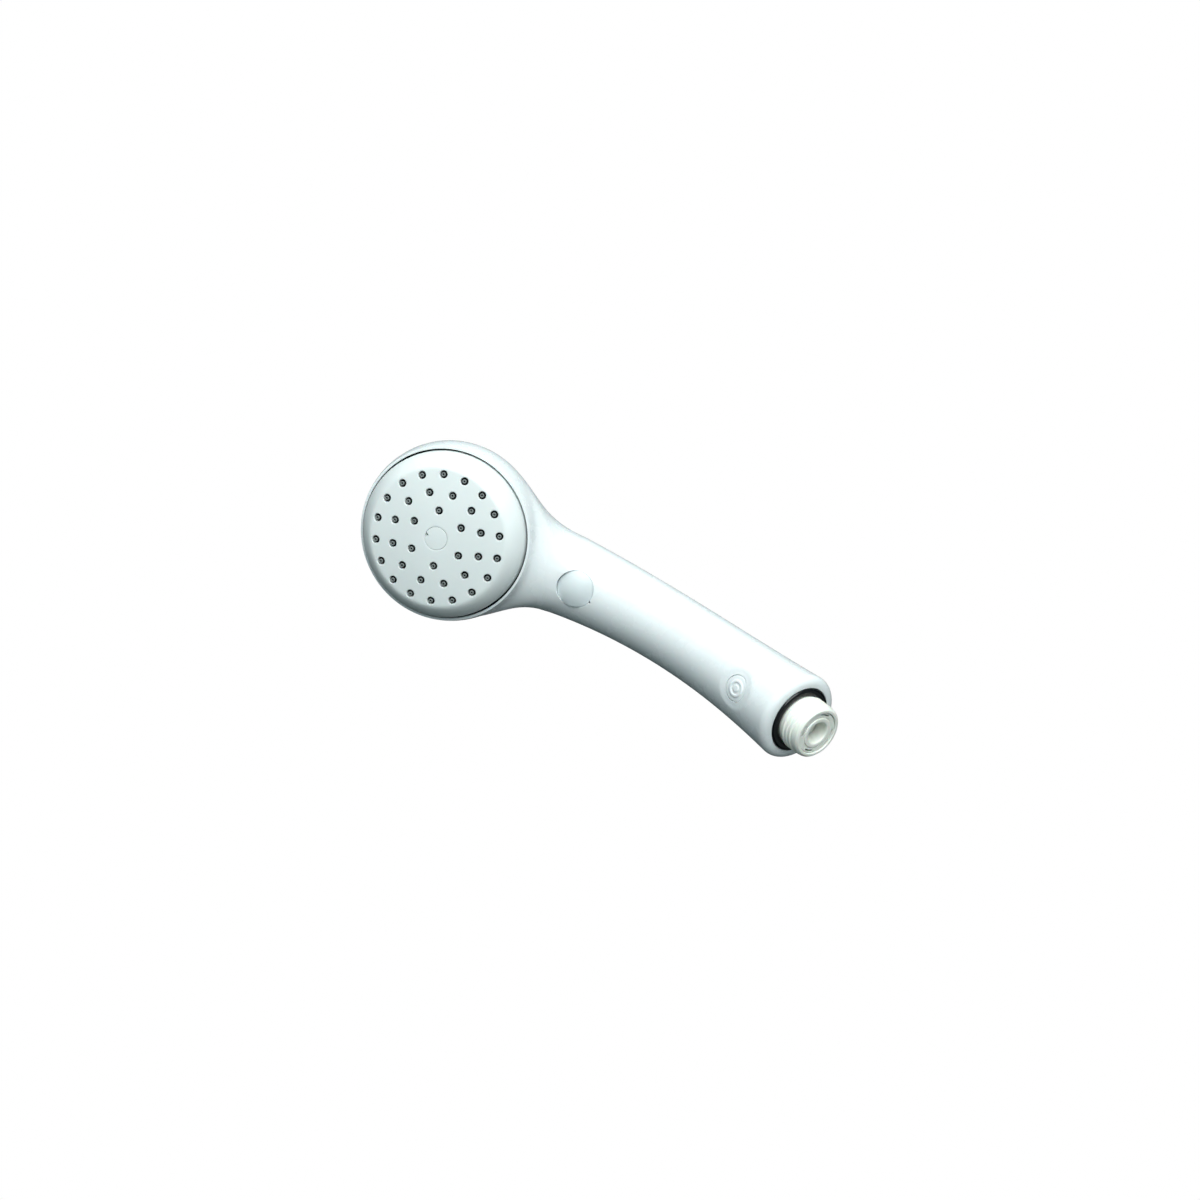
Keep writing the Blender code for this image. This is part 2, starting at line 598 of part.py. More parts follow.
def make_hose_nipple():
    """The threaded spigot, its gasket at the handle's rim and its seal in the rim's bore."""
    outline = [(8.3, 0), (9.4, 0), (9.9, 0.7)]
    for k in range(4):
        crest = 1.3 + THREAD_PITCH * k
        outline += [(9.55, crest - 0.5), (SPIGOT_RADIUS, crest), (SPIGOT_RADIUS, crest + 0.4)]
    outline += [(9.6, 7.9), (9.6, 12.4), (12.6, 12.4), (12.6, 15.4), (11.6, 15.6), (11.6, 17.8),
                (9.9, 17.8), (9.9, 20.6), (11.6, 20.6), (11.6, NIPPLE_TOP - 0.4),
                (11.2, NIPPLE_TOP), (CHAMBER, NIPPLE_TOP), (CHAMBER, SEAT_TOP), (6.0, SEAT_TOP),
                (6.0, 11.0), (8.3, 10.4)]
    turned("hose_nipple", outline, "ivory_pom", steps=28)
    low, high, outer = SPIGOT_LENGTH - 0.9, 12.1, RIM_BORE - 0.4
    turned("nipple_gasket", [(9.9, low), (outer - 0.8, low), (outer, low + 0.8), (outer, high),
                             (9.9, high)], "black_rubber", steps=28)
    o_ring("nipple_o_ring", 11.5, 1.15, 19.2)


def make_check_valve():
    """The non-return valve in the spigot, shut on its seat."""
    outline = [(4.3, 0.2), (6.0, 0.2), (6.0, 0.7), (8.0, 0.7), (8.0, 3.0), (6.2, 3.0),
               (6.2, 9.0), (4.3, 9.0)]
    cage = turned("inlet_cage", outline, "ivory_pom")
    for k in range(4):
        boolean(cage, arc_slot_cutter(f"cut_slot_{k}", 6.9, 7.7, 0, 4, 90 * k, 34))
    turned("check_poppet", [(0, 5.5), (3.6, 5.5), (3.9, 5.8), (3.9, 13.9), (7.0, 13.9),
                            (7.0, 15.2), (0, 15.2)], "natural_pom")
    turned("check_washer", ring_profile(4.2, 6.9, SEAT_TOP + GAP, 13.6), "black_rubber")
    spring_low, solid_length = 15.5, 5.5
    spring_top = spring_low + solid_length + CHECK_LIFT
    coil_spring("check_spring", 5.2, 0.4, spring_low, spring_top, 4)
    stop = turned("spring_stop", ring_profile(2.0, CHAMBER - GAP, spring_top + GAP, 25.4), "natural_pom")
    ports = [(3.9 * math.cos(math.tau * i / 6), 3.9 * math.sin(math.tau * i / 6))
             for i in range(6)]
    boolean(stop, cylinders("cut_stop_ports", ports, (1.1, 1.1), 22, 27, 8))


def make_water_pipe():
    q_low, q_high = 0.131, 0.852
    outer = tube_rings(q_low, q_high, 4.6, 14, 9, 5.0)
    inner = tube_rings(q_low, q_high, 3.4, 14, 9, 5.0)
    loft("water_pipe", outer + inner[::-1], "natural_pom", closed_loop=True)
    turned("pipe_bush", ring_profile(4.95, CHAMBER - GAP, 26.5, NIPPLE_TOP - 0.2, 0.4),
           "ivory_pom")
    o_ring("pipe_o_ring", 6.5, 0.4, 25.95)
    seat = empty("inlet_axis", (0, -BODY_RADIUS - 1.0, INLET_Z), 90, VALVE_FRAME)
    o_ring("pipe_end_seal", 3.9, 0.5, 0.0, seat)


clear_scene()
PARTS = new_collection(COLLECTION)
CUTTERS = new_collection("cutters")
LINE_Q, LINE_Y, LINE_Z, LINE_LEAN, LINE_R = centreline()
HEAD = head_origin()
HEAD_FRAME = empty("head_frame", HEAD, 90 + FACE_TILT)
VALVE_FRAME = empty("valve_frame", (0, BUTTON_Y, 0), 0, HEAD_FRAME)
BUTTON_FRAME = empty("button_frame", (0, 0, 0), 0, VALVE_FRAME)
BADGE_LEAN = at_q(LINE_LEAN, BADGE_Q)
BADGE_FRAME = empty("badge_frame",
                    (0, at_q(LINE_Y, BADGE_Q) - at_q(LINE_R, BADGE_Q) * math.cos(BADGE_LEAN),
                     at_q(LINE_Z, BADGE_Q) - at_q(LINE_R, BADGE_Q) * math.sin(BADGE_LEAN)),
                    90 + math.degrees(BADGE_LEAN))

make_body_shell()
make_badge()
make_spray_plate()
make_nozzle_mat()
make_distributor()
make_head_fasteners()
make_stop_valve()
make_button_group()
make_hose_nipple()
make_check_valve()
make_water_pipe()
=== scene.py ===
"""Looks of the handheld shower head: fine meshes, materials, light and camera.

The CAD model is the frame. Every visible CAD piece is replaced by a finer mesh of the same shape
and size, in the same place; the sealed inner pieces keep their CAD meshes and get materials.
Lengths are in mm where a name or comment says so, and are turned into metres by MM.
"""
import json
import math

import bmesh
import bpy
import numpy as np
from mathutils import Matrix, Vector


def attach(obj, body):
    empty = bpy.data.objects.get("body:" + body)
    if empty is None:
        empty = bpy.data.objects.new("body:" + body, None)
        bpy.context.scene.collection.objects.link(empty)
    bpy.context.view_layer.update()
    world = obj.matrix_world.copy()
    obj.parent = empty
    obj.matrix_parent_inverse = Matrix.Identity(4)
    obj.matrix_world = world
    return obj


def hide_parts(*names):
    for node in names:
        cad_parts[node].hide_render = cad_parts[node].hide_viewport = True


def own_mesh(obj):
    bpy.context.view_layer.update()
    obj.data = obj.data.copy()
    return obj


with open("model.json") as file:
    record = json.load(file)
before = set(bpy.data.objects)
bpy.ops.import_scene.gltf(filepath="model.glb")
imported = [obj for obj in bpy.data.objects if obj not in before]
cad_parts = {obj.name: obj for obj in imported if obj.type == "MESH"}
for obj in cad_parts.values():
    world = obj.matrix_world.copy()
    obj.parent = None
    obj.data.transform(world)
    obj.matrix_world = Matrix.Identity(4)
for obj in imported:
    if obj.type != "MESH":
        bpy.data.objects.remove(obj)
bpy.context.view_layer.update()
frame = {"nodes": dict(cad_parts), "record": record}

MM = 0.001

# ---- The part's driving dimensions (mm, degrees), the same as the CAD model's ----
SPIGOT_LENGTH = 10.5
SPIGOT_RADIUS = 10.48
THREAD_PITCH = 1.814
HANDLE_LENGTH = 118.7
HANDLE_LEAN = (3.9, 38.7)
HANDLE_RADIUS = (17.1, -10.15, 9.3)
RIM_ROUND = 3.2
FACE_TILT = 37.7
HEAD_OFFSET = (46.0, 24.1)
BOWL_RADIUS = 35.0
BOWL_Z = -9.0
BOWL_FRONT = 34.0
BOWL_BACK = 25.5
BLEND = 17.4
BLEND_AT_LIP = 5.0                 # it tightens towards the lip of the bowl
BLEND_DEPTH = 11.0
WALL = 3.0
REBATE_RADIUS = 32.9
REBATE_FLOOR = -5.4
PLATE_RADIUS = 32.1
PLATE_HEIGHT = 11.3
DOME_RADIUS = 181.0
BEVEL = (6.0, 8.2)
SHOULDER = 0.5
NOZZLE_RINGS = ((10.7, 6, 106.5), (17.6, 12, 121.4), (24.5, 18, 126.4))
NOZZLE_HOLE = 1.5
NOZZLE_TIP = 0.80
NOZZLE_BORE = 0.32
CAP_RADIUS = 4.36
CAP_FLOOR = 10.15
BUTTON_Y = -53.5
BUTTON_RADIUS = 7.2
BUTTON_TOP = -7.9
BUTTON_DOME = 1.9
BADGE_Q = 0.18
BADGE_RADIUS = 5.1
DISH_RADIUS = 7.6                  # soft dish in the handle round the badge
DISH_DEPTH = 0.55
RIM_BORE = 13.0
THREAD_ROOT = 9.95
THREAD_SPAN = (1.6, 8.4)           # heights between which the thread is cut
NECK_RADIUS = 10.2                 # the spigot's plain end, before the thread starts
SHADE_PACKING_TOP = -2.4                    # top of the black packing in the groove; its black there is painted shade
BUTTON_GAP = 0.10                  # play round the button
BADGE_GAP = 0.1

# ---- Camera: the photograph's viewing angle ----
CAMERA_PLACE = (0.20619, -0.57577, -0.44958)
CAMERA_RIGHT = (0.38457, 0.72275, -0.57423)
CAMERA_UP = (0.88657, -0.11593, 0.44783)
CAMERA_LENS = 62.63                # on a 36 mm sensor
FLOOR_Z = -1.60                    # below the camera, so that it never hides the part
FLOOR_SIZE = 2.5
PART_MIDDLE = (0, -0.04, 0.09)     # where the lights aim

# The studio's gradient: position from dark side to light side, and colour
WORLD_ENDS = ((0.12, (0.001, 0.005, 0.006, 1)), (0.92, (0.70, 0.78, 0.80, 1)))
WORLD_STEPS = ((0.38, (0.008, 0.030, 0.034, 1)), (0.60, (0.15, 0.25, 0.27, 1)))


def smooth_step(value):
    value = min(max(value, 0.0), 1.0)
    return value * value * (3 - 2 * value)


# ---- The handle's centreline and the outer skin (all in mm) ----

def centreline(samples=241, stretch=1.30):
    q = np.linspace(0.0, stretch, samples)
    shape_q = np.minimum(q, 1.0)
    lean = np.radians(HANDLE_LEAN[0] * shape_q + HANDLE_LEAN[1] * shape_q ** 2)
    step = HANDLE_LENGTH * (q[1] - q[0])
    middle = (lean[1:] + lean[:-1]) / 2
    y = np.concatenate([[0.0], np.cumsum(-np.sin(middle) * step)])
    z = SPIGOT_LENGTH + np.concatenate([[0.0], np.cumsum(np.cos(middle) * step)])
    radius = HANDLE_RADIUS[0] + HANDLE_RADIUS[1] * shape_q + HANDLE_RADIUS[2] * shape_q ** 2
    return q, y, z, lean, radius


LINE_Q, LINE_Y, LINE_Z, LINE_LEAN, LINE_R = centreline()
TILT = math.radians(FACE_TILT)
SPRAY = np.array([0.0, -math.cos(TILT), -math.sin(TILT)])
UP_HEAD = np.array([0.0, -math.sin(TILT), math.cos(TILT)])


def at_q(values, where):
    return float(np.interp(where, LINE_Q, values))


HEAD = (np.array([0.0, at_q(LINE_Y, 1.0), at_q(LINE_Z, 1.0)])
        + HEAD_OFFSET[0] * UP_HEAD + HEAD_OFFSET[1] * SPRAY)


def local_frame(origin, tilt_degrees):
    """Matrix of a frame turned about X, with its origin given in mm."""
    turn = Matrix.Rotation(math.radians(tilt_degrees), 4, "X")
    return Matrix.Translation(Vector(origin) * MM) @ turn


WORLD = Matrix.Identity(4)
HEAD_FRAME = local_frame(HEAD, 90 + FACE_TILT)
VALVE_FRAME = HEAD_FRAME @ Matrix.Translation(Vector((0, BUTTON_Y, 0)) * MM)
BADGE_LEAN = at_q(LINE_LEAN, BADGE_Q)
BADGE_PLACE = (0.0, at_q(LINE_Y, BADGE_Q) - at_q(LINE_R, BADGE_Q) * math.cos(BADGE_LEAN),
               at_q(LINE_Z, BADGE_Q) - at_q(LINE_R, BADGE_Q) * math.sin(BADGE_LEAN))
BADGE_FRAME = local_frame(BADGE_PLACE, 90 + math.degrees(BADGE_LEAN))


def skin(points):
    """Smooth distance from the outer surface of bowl and handle, negative inside (mm)."""
    offset = points - HEAD
    x = points[:, 0]
    up = offset @ UP_HEAD
    out = offset @ SPRAY - BOWL_Z
    depth = np.where(out > 0, BOWL_FRONT, BOWL_BACK)
    scaled = np.sqrt((x * x + up * up) / BOWL_RADIUS ** 2 + (out / depth) ** 2)
    slope = np.sqrt((x * x + up * up) / BOWL_RADIUS ** 4 + out ** 2 / depth ** 4) + 1e-9
    bowl = scaled * (scaled - 1.0) / slope
    gap_y = points[:, 1][:, None] - LINE_Y[None, :]
    gap_z = points[:, 2][:, None] - LINE_Z[None, :]
    reach = np.sqrt(x[:, None] ** 2 + gap_y ** 2 + gap_z ** 2) - LINE_R[None, :]
    handle = reach.min(axis=1)
    behind_lip = np.clip(-(offset @ SPRAY) / BLEND_DEPTH, 0.0, 1.0)
    blend = (BLEND_AT_LIP
             + (BLEND - BLEND_AT_LIP) * behind_lip * behind_lip * (3 - 2 * behind_lip))
    mix = np.maximum(blend - np.abs(bowl - handle), 0.0) / blend
    from_badge = np.linalg.norm(points - BADGE_PLACE, axis=1) / DISH_RADIUS
    dish = DISH_DEPTH * np.clip(1.0 - from_badge ** 2, 0.0, 1.0) ** 0.5
    return np.minimum(bowl, handle) - mix * mix * blend / 4 + np.minimum(dish * 1.3, DISH_DEPTH)


def skin_rings(level, q_low, around, crown_count, flare_count, handle_count, rim_round=0.0):
    """Rings on the surface where skin equals level, from the head's crown to q_low."""
    top = BOWL_RADIUS + level
    planes = []
    crown = [top * math.cos(math.pi * (0.012 + 0.488 * i / crown_count))
             for i in range(crown_count)]
    for along in crown + list(np.linspace(-0.4, 4.0 - HEAD_OFFSET[0], flare_count)):
        share = smooth_step((top - along) / (top + HEAD_OFFSET[0]))
        drop = BOWL_Z - (HEAD_OFFSET[1] + BOWL_Z) * share
        planes.append((HEAD + drop * SPRAY + along * UP_HEAD, UP_HEAD, 0.0))
    rim_q = rim_round / HANDLE_LENGTH
    ends = list(np.linspace(1.0, q_low + rim_q, handle_count))
    insets = [0.0] * handle_count
    steps = 10
    for k in range(1, steps + 1 if rim_round else 1):
        turn = math.pi / 2 * k / steps
        ends.append(q_low + rim_q * (1 - math.sin(turn)))
        insets.append(rim_round * (1 - math.cos(turn)))
    for where, inset in zip(ends, insets):
        lean = at_q(LINE_LEAN, where)
        centre = np.array([0.0, at_q(LINE_Y, where), at_q(LINE_Z, where)])
        planes.append((centre, np.array([0.0, -math.sin(lean), math.cos(lean)]), inset))
    side = np.array([1.0, 0.0, 0.0])
    rings = []
    angles = math.tau * (np.arange(around) + 0.5) / around
    for centre, normal, inset in planes:
        front = np.cross(side, normal)
        rays = np.cos(angles)[:, None] * side + np.sin(angles)[:, None] * front
        near, far = np.zeros(around), np.full(around, 60.0)
        for _ in range(18):
            middle = (near + far) / 2
            inside = skin(centre + middle[:, None] * rays) < level
            near, far = np.where(inside, middle, near), np.where(inside, far, middle)
        reach = np.maximum((near + far) / 2 - inset, 0.05)
        rings.append(centre + reach[:, None] * rays)
    return rings


# ---- Mesh helpers ----

def link(name, mesh):
    obj = bpy.data.objects.new(name, mesh)
    bpy.context.scene.collection.objects.link(obj)
    return obj


def mesh_from(name, shape, matrix=WORLD):
    mesh = bpy.data.meshes.new(name)
    bmesh.ops.recalc_face_normals(shape, faces=shape.faces)
    shape.to_mesh(mesh)
    shape.free()
    mesh.transform(matrix)
    return link(name, mesh)


def loft(name, rings):
    """Skin a list of rings of points in mm, with end caps."""
    shape = bmesh.new()
    loops = [[shape.verts.new(Vector(p) * MM) for p in ring] for ring in rings]
    for low, high in zip(loops, loops[1:]):
        for i in range(len(low)):
            j = (i + 1) % len(low)
            shape.faces.new((low[i], low[j], high[j], high[i]))
    shape.faces.new(loops[0])
    shape.faces.new(loops[-1])
    return mesh_from(name, shape)


def fillet(outline, radius, segments=4, closed=True):
    """Round every corner of an outline of (r, z[, radius]) points."""
    count = len(outline)
    made = []
    for i, point in enumerate(outline):
        corner = Vector(point[:2])
        size = point[2] if len(point) > 2 else radius
        if size <= 0 or (not closed and i in (0, count - 1)):
            made.append(tuple(corner))
            continue
        before = Vector(outline[i - 1][:2]) - corner
        after = Vector(outline[(i + 1) % count][:2]) - corner
        reach_in, reach_out = before.length, after.length
        before.normalize()
        after.normalize()
        angle = before.angle(after)
        if angle > math.radians(178) or angle < math.radians(2):
            made.append(tuple(corner))
            continue
        cut = min(size / math.tan(angle / 2), 0.45 * reach_in, 0.45 * reach_out)
        size = cut * math.tan(angle / 2)
        centre = corner + (before + after).normalized() * (size / math.sin(angle / 2))
        start = corner + before * cut - centre
        end = corner + after * cut - centre
        sweep = start.angle_signed(end)
        for k in range(segments + 1):
            turn = Matrix.Rotation(-sweep * k / segments, 2)
            made.append(tuple(centre + turn @ start))
    return made


def lathe(name, outline, matrix=WORLD, steps=128, cut_turn=0.0):
    """Turn a closed outline of (r, z) in mm about the local z axis."""
    shape = bmesh.new()
    rings = []
    for r, z in outline:
        if abs(r) < 1e-6:
            rings.append([shape.verts.new((0, 0, z * MM))])
        else:
            rings.append([shape.verts.new((r * MM * math.cos(math.tau * i / steps + cut_turn),
                                           r * MM * math.sin(math.tau * i / steps + cut_turn),
                                           z * MM)) for i in range(steps)])
    for a, b in zip(rings, rings[1:] + rings[:1]):
        if len(a) == 1 and len(b) == 1:
            continue
        for i in range(steps):
            j = (i + 1) % steps
            if len(a) == 1:
                shape.faces.new((a[0], b[i], b[j]))
            elif len(b) == 1:
                shape.faces.new((a[i], b[0], a[j]))
            else:
                shape.faces.new((a[i], b[i], b[j], a[j]))
    return mesh_from(name, shape, matrix)


def apply_modifiers(obj):
    bpy.context.view_layer.update()
    graph = bpy.context.evaluated_depsgraph_get()
    mesh = bpy.data.meshes.new_from_object(obj.evaluated_get(graph), depsgraph=graph)
    old = obj.data
    obj.modifiers.clear()
    obj.data = mesh
    bpy.data.meshes.remove(old)


def cut(obj, *cutters):
    """Take the cutters away from the object, then delete them."""
    for cutter in cutters:
        step = obj.modifiers.new("cut", "BOOLEAN")
        step.operation = "DIFFERENCE"
        step.object = cutter
        step.solver = "EXACT"
    apply_modifiers(obj)
    for cutter in cutters:
        mesh = cutter.data
        bpy.data.objects.remove(cutter)
        bpy.data.meshes.remove(mesh)


def join(name, objects):
    shape = bmesh.new()
    for obj in objects:
        shape.from_mesh(obj.data)
        mesh = obj.data
        bpy.data.objects.remove(obj)
        bpy.data.meshes.remove(mesh)
    mesh = bpy.data.meshes.new(name)
    shape.to_mesh(mesh)
    shape.free()
    return link(name, mesh)


def smooth(obj, angle=30.0):
    obj.data.shade_smooth()
    obj.data.set_sharp_from_angle(angle=math.radians(angle))


def soften_edges(obj, width, segments=3, weld=0.06, angle=28.0):
    """Weld tiny edges, then round the sharp ones (mm)."""
    merge = obj.modifiers.new("weld", "WELD")
    merge.merge_threshold = weld * MM
    bevel = obj.modifiers.new("soft edges", "BEVEL")
    bevel.width = width * MM
    bevel.segments = segments
    bevel.limit_method = "ANGLE"
    bevel.angle_limit = math.radians(angle)
    bevel.use_clamp_overlap = True
    bevel.harden_normals = False
    apply_modifiers(obj)


def finish_piece(obj, body, nodes, material, angle=30.0):
    """Shade a piece, give it its material, and tell the frame what it rides on and replaces."""
    smooth(obj, angle)
    obj.data.materials.clear()
    obj.data.materials.append(material)
    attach(obj, body)
    if nodes:
        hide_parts(*nodes)
    return obj


# ---- Materials ----

def noise(tree, scale, detail, coordinates, roughness=0.5):
    node = tree.nodes.new("ShaderNodeTexNoise")
    node.inputs["Scale"].default_value = scale
    node.inputs["Detail"].default_value = detail
    node.inputs["Roughness"].default_value = roughness
    tree.links.new(coordinates.outputs["Object"], node.inputs["Vector"])
    return node


def spread(tree, source, low, high, from_low=0.3, from_high=0.7):
    node = tree.nodes.new("ShaderNodeMapRange")
    node.inputs["From Min"].default_value = from_low
    node.inputs["From Max"].default_value = from_high
    node.inputs["To Min"].default_value = low
    node.inputs["To Max"].default_value = high
    tree.links.new(source, node.inputs["Value"])
    return node.outputs["Result"]


def surface(name, color, dark, roughness, grain_scale, grain_depth, metallic=0.0, coat=0.0,
            coat_roughness=0.08, subsurface=0.0, tone_scale=60.0, wave_scale=0.0, wave_depth=0.0,
            roughness_swing=0.05, specular=0.5):
    """Moulded plastic, rubber or metal: tone drift, uneven gloss and a fine surface grain."""
    material = bpy.data.materials.new(name)
    material.use_nodes = True
    tree = material.node_tree
    shader = tree.nodes["Principled BSDF"]
    shader.inputs["Metallic"].default_value = metallic
    shader.inputs["Coat Weight"].default_value = coat
    shader.inputs["Coat Roughness"].default_value = coat_roughness
    shader.inputs["Subsurface Weight"].default_value = subsurface
    shader.inputs["Subsurface Scale"].default_value = 0.002
    shader.inputs["Specular IOR Level"].default_value = specular
    coordinates = tree.nodes.new("ShaderNodeTexCoord")
    tone = noise(tree, tone_scale, 3, coordinates)
    mix = tree.nodes.new("ShaderNodeMix")
    mix.data_type = "RGBA"
    mix.inputs["A"].default_value = (*dark, 1)
    mix.inputs["B"].default_value = (*color, 1)
    tree.links.new(spread(tree, tone.outputs["Fac"], 0.0, 1.0), mix.inputs["Factor"])
    tree.links.new(mix.outputs["Result"], shader.inputs["Base Color"])
    uneven = noise(tree, tone_scale * 2.7, 4, coordinates)
    tree.links.new(spread(tree, uneven.outputs["Fac"], roughness - roughness_swing,
                          roughness + roughness_swing), shader.inputs["Roughness"])
    grain = noise(tree, grain_scale, 2, coordinates)
    bump = tree.nodes.new("ShaderNodeBump")
    bump.inputs["Distance"].default_value = grain_depth * MM
    bump.inputs["Strength"].default_value = 1.0
    tree.links.new(grain.outputs["Fac"], bump.inputs["Height"])
    last = bump
    if wave_scale:
        flow = noise(tree, wave_scale, 2, coordinates)
        swell = tree.nodes.new("ShaderNodeBump")
        swell.inputs["Distance"].default_value = wave_depth * MM
        swell.inputs["Strength"].default_value = 1.0
        tree.links.new(flow.outputs["Fac"], swell.inputs["Height"])
        tree.links.new(bump.outputs["Normal"], swell.inputs["Normal"])
        last = swell
    tree.links.new(last.outputs["Normal"], shader.inputs["Normal"])
    return material


def make_materials():
    return {
        "white_shell": surface("glossy_white_abs", (0.80, 0.835, 0.84), (0.78, 0.815, 0.82), 0.26,
                               3500, 0.0012, coat=0.30, coat_roughness=0.08, subsurface=0.05,
                               wave_scale=55, wave_depth=0.010),
        # the button's white is darker than the shell's: painted shade for the shade on the disc
        "white_button": surface("satin_white_abs_shaded", (0.70, 0.75, 0.76), (0.67, 0.72, 0.73), 0.42,
                                4200, 0.0025, subsurface=0.04),
        "satin_plate": surface("satin_grey_white_abs", (0.76, 0.80, 0.79), (0.735, 0.775, 0.765),
                               0.42, 5200, 0.0040, subsurface=0.04, wave_scale=80,
                               wave_depth=0.006),
        "nozzle_rubber": surface("grey_silicone", (0.22, 0.24, 0.235), (0.17, 0.19, 0.185), 0.5,
                                 6000, 0.004, tone_scale=200),
        # near-black silicone for the sleeves and the mat: painted shade of the gaps round the
        # nozzle tips
        "nozzle_shade": surface("silicone_painted_shade", (0.006, 0.007, 0.007), (0.004, 0.005, 0.005), 0.55,
                               6000, 0.004, tone_scale=200, specular=0.3),
        "black_rubber": surface("black_rubber", (0.004, 0.004, 0.005), (0.002, 0.002, 0.003), 0.22,
                                2600, 0.003, tone_scale=150, roughness_swing=0.03, specular=0.35),
        "ivory_pom": surface("ivory_acetal", (0.86, 0.87, 0.81), (0.83, 0.84, 0.77), 0.34, 3800,
                             0.003, subsurface=0.12, coat=0.12),
        "natural_pom": surface("natural_acetal", (0.80, 0.80, 0.74), (0.76, 0.76, 0.69), 0.42,
                               3800, 0.003, subsurface=0.12),
        "steel": surface("stainless_steel", (0.62, 0.62, 0.63), (0.55, 0.55, 0.56), 0.28, 3000,
                         0.0015, metallic=1.0, tone_scale=120),
        "brass": surface("turned_brass", (0.74, 0.56, 0.28), (0.66, 0.49, 0.23), 0.3, 3000,
                         0.0015, metallic=1.0, tone_scale=120),
    }


# ---- Shell ----

def make_shell(material):
    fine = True
    shell = loft("shell", skin_rings(0.0, 0.0, 132 if fine else 84, 40 if fine else 24,
                                     44 if fine else 24, 130 if fine else 70, RIM_ROUND))
    front = lathe("front", [(0, 60), (60, 60), (60, 0), (REBATE_RADIUS, 0),
                            (REBATE_RADIUS, REBATE_FLOOR), (0, REBATE_FLOOR)],
                  HEAD_FRAME, 168, 0.013)
    hollow = loft("hollow", skin_rings(-WALL, 0.10, 48, 14, 14, 24))
    hole = BUTTON_RADIUS + BUTTON_GAP
    button = lathe("button_hole", [(0, 10), (hole, 10), (hole, -15), (0, -15)], VALVE_FRAME, 112,
                   0.013)
    nick_place = VALVE_FRAME @ Matrix.Translation(Vector((-2.3, -7.1, -8)) * MM)
    nick = lathe("nick", [(0, 5), (0.5, 5), (0.5, -5), (0, -5)], nick_place, 16, 0.013)
    bore = lathe("rim_bore", [(0, 34), (RIM_BORE, 34), (RIM_BORE, 0), (0, 0)], WORLD, 132, 0.013)
    pocket = BADGE_RADIUS + BADGE_GAP
    badge = lathe("badge_pocket", [(0, 4), (pocket, 4), (pocket, -2.0), (0, -2.0)], BADGE_FRAME,
                  96, 0.013)
    for cutter in (front, hollow, button, nick, bore, badge):
        cut(shell, cutter)
    soften_edges(shell, 0.3)
    return finish_piece(shell, "handset", ["body_shell"], material)


def make_badge(material):
    """A raised disc with two rings, wrapped round the handle."""
    top, edge = 0.12, BADGE_RADIUS
    outline = [(0, top - 0.1, 0), (1.1, top - 0.1, 0.2), (1.5, top - 0.32, 0.2),
               (2.0, top - 0.32, 0.2), (2.5, top, 0.35), (3.1, top, 0.3), (3.5, top - 0.22, 0.3),
               (4.1, top - 0.2, 0.3), (edge - 0.35, top - 0.12, 0.4), (edge, top - 0.75, 0.3),
               (edge, -1.6, 0), (0, -1.6, 0)]
    badge = lathe("badge", fillet(outline, 0.15), WORLD, 96)
    around = at_q(LINE_R, BADGE_Q) * MM
    for vertex in badge.data.vertices:
        reach = min(abs(vertex.co.x), 0.95 * around)
        vertex.co.z -= around - math.sqrt(around * around - reach * reach) + DISH_DEPTH * MM
    badge.data.transform(BADGE_FRAME)
    return finish_piece(badge, "handset", ["handle_badge"], material)


# ---- Spray head ----

def dome(radius, drop=0.0):
    """Height of the spray plate's crown at a radius, less a drop (mm)."""
    return PLATE_HEIGHT - drop - radius * radius / (2 * DOME_RADIUS)


def dome_outline(edge, drop, across, along, floor, start, crown_count, edge_count):
    """Half section of a shallow dome that rolls over into a skirt at its edge (mm)."""
    points = [(r, dome(r, drop)) for r in np.linspace(start, edge - across, crown_count)]
    top = dome(edge - across, drop)
    for k in range(1, edge_count + 1):
        turn = math.pi / 2 * k / edge_count
        reach = math.sin(turn)
        slope = reach * reach / (reach + SHOULDER) * (1 + SHOULDER)
        fall = (1 - math.cos(turn) + slope) / 2
        points.append((edge - across + across * reach, top - along * fall))
    points.append((edge, floor))
    return points


def nozzle_places():
    """(x, y, radius) of each nozzle in the head frame."""
    places = []
    for radius, count, phase in NOZZLE_RINGS:
        for i in range(count):
            angle = math.radians(phase - 360.0 * i / count)
            places.append((radius * math.sin(angle), -radius * math.cos(angle), radius))
    return places


def nozzle_frame(x, y, radius):
    """Frame on the crown of the plate at a nozzle, with z along the dome's normal."""
    lean = math.asin(radius / DOME_RADIUS)
    heading = math.atan2(y, x)
    turn = (Matrix.Rotation(heading, 4, "Z") @ Matrix.Rotation(lean, 4, "Y")
            @ Matrix.Rotation(-heading, 4, "Z"))
    return HEAD_FRAME @ Matrix.Translation(Vector((x, y, dome(radius))) * MM) @ turn


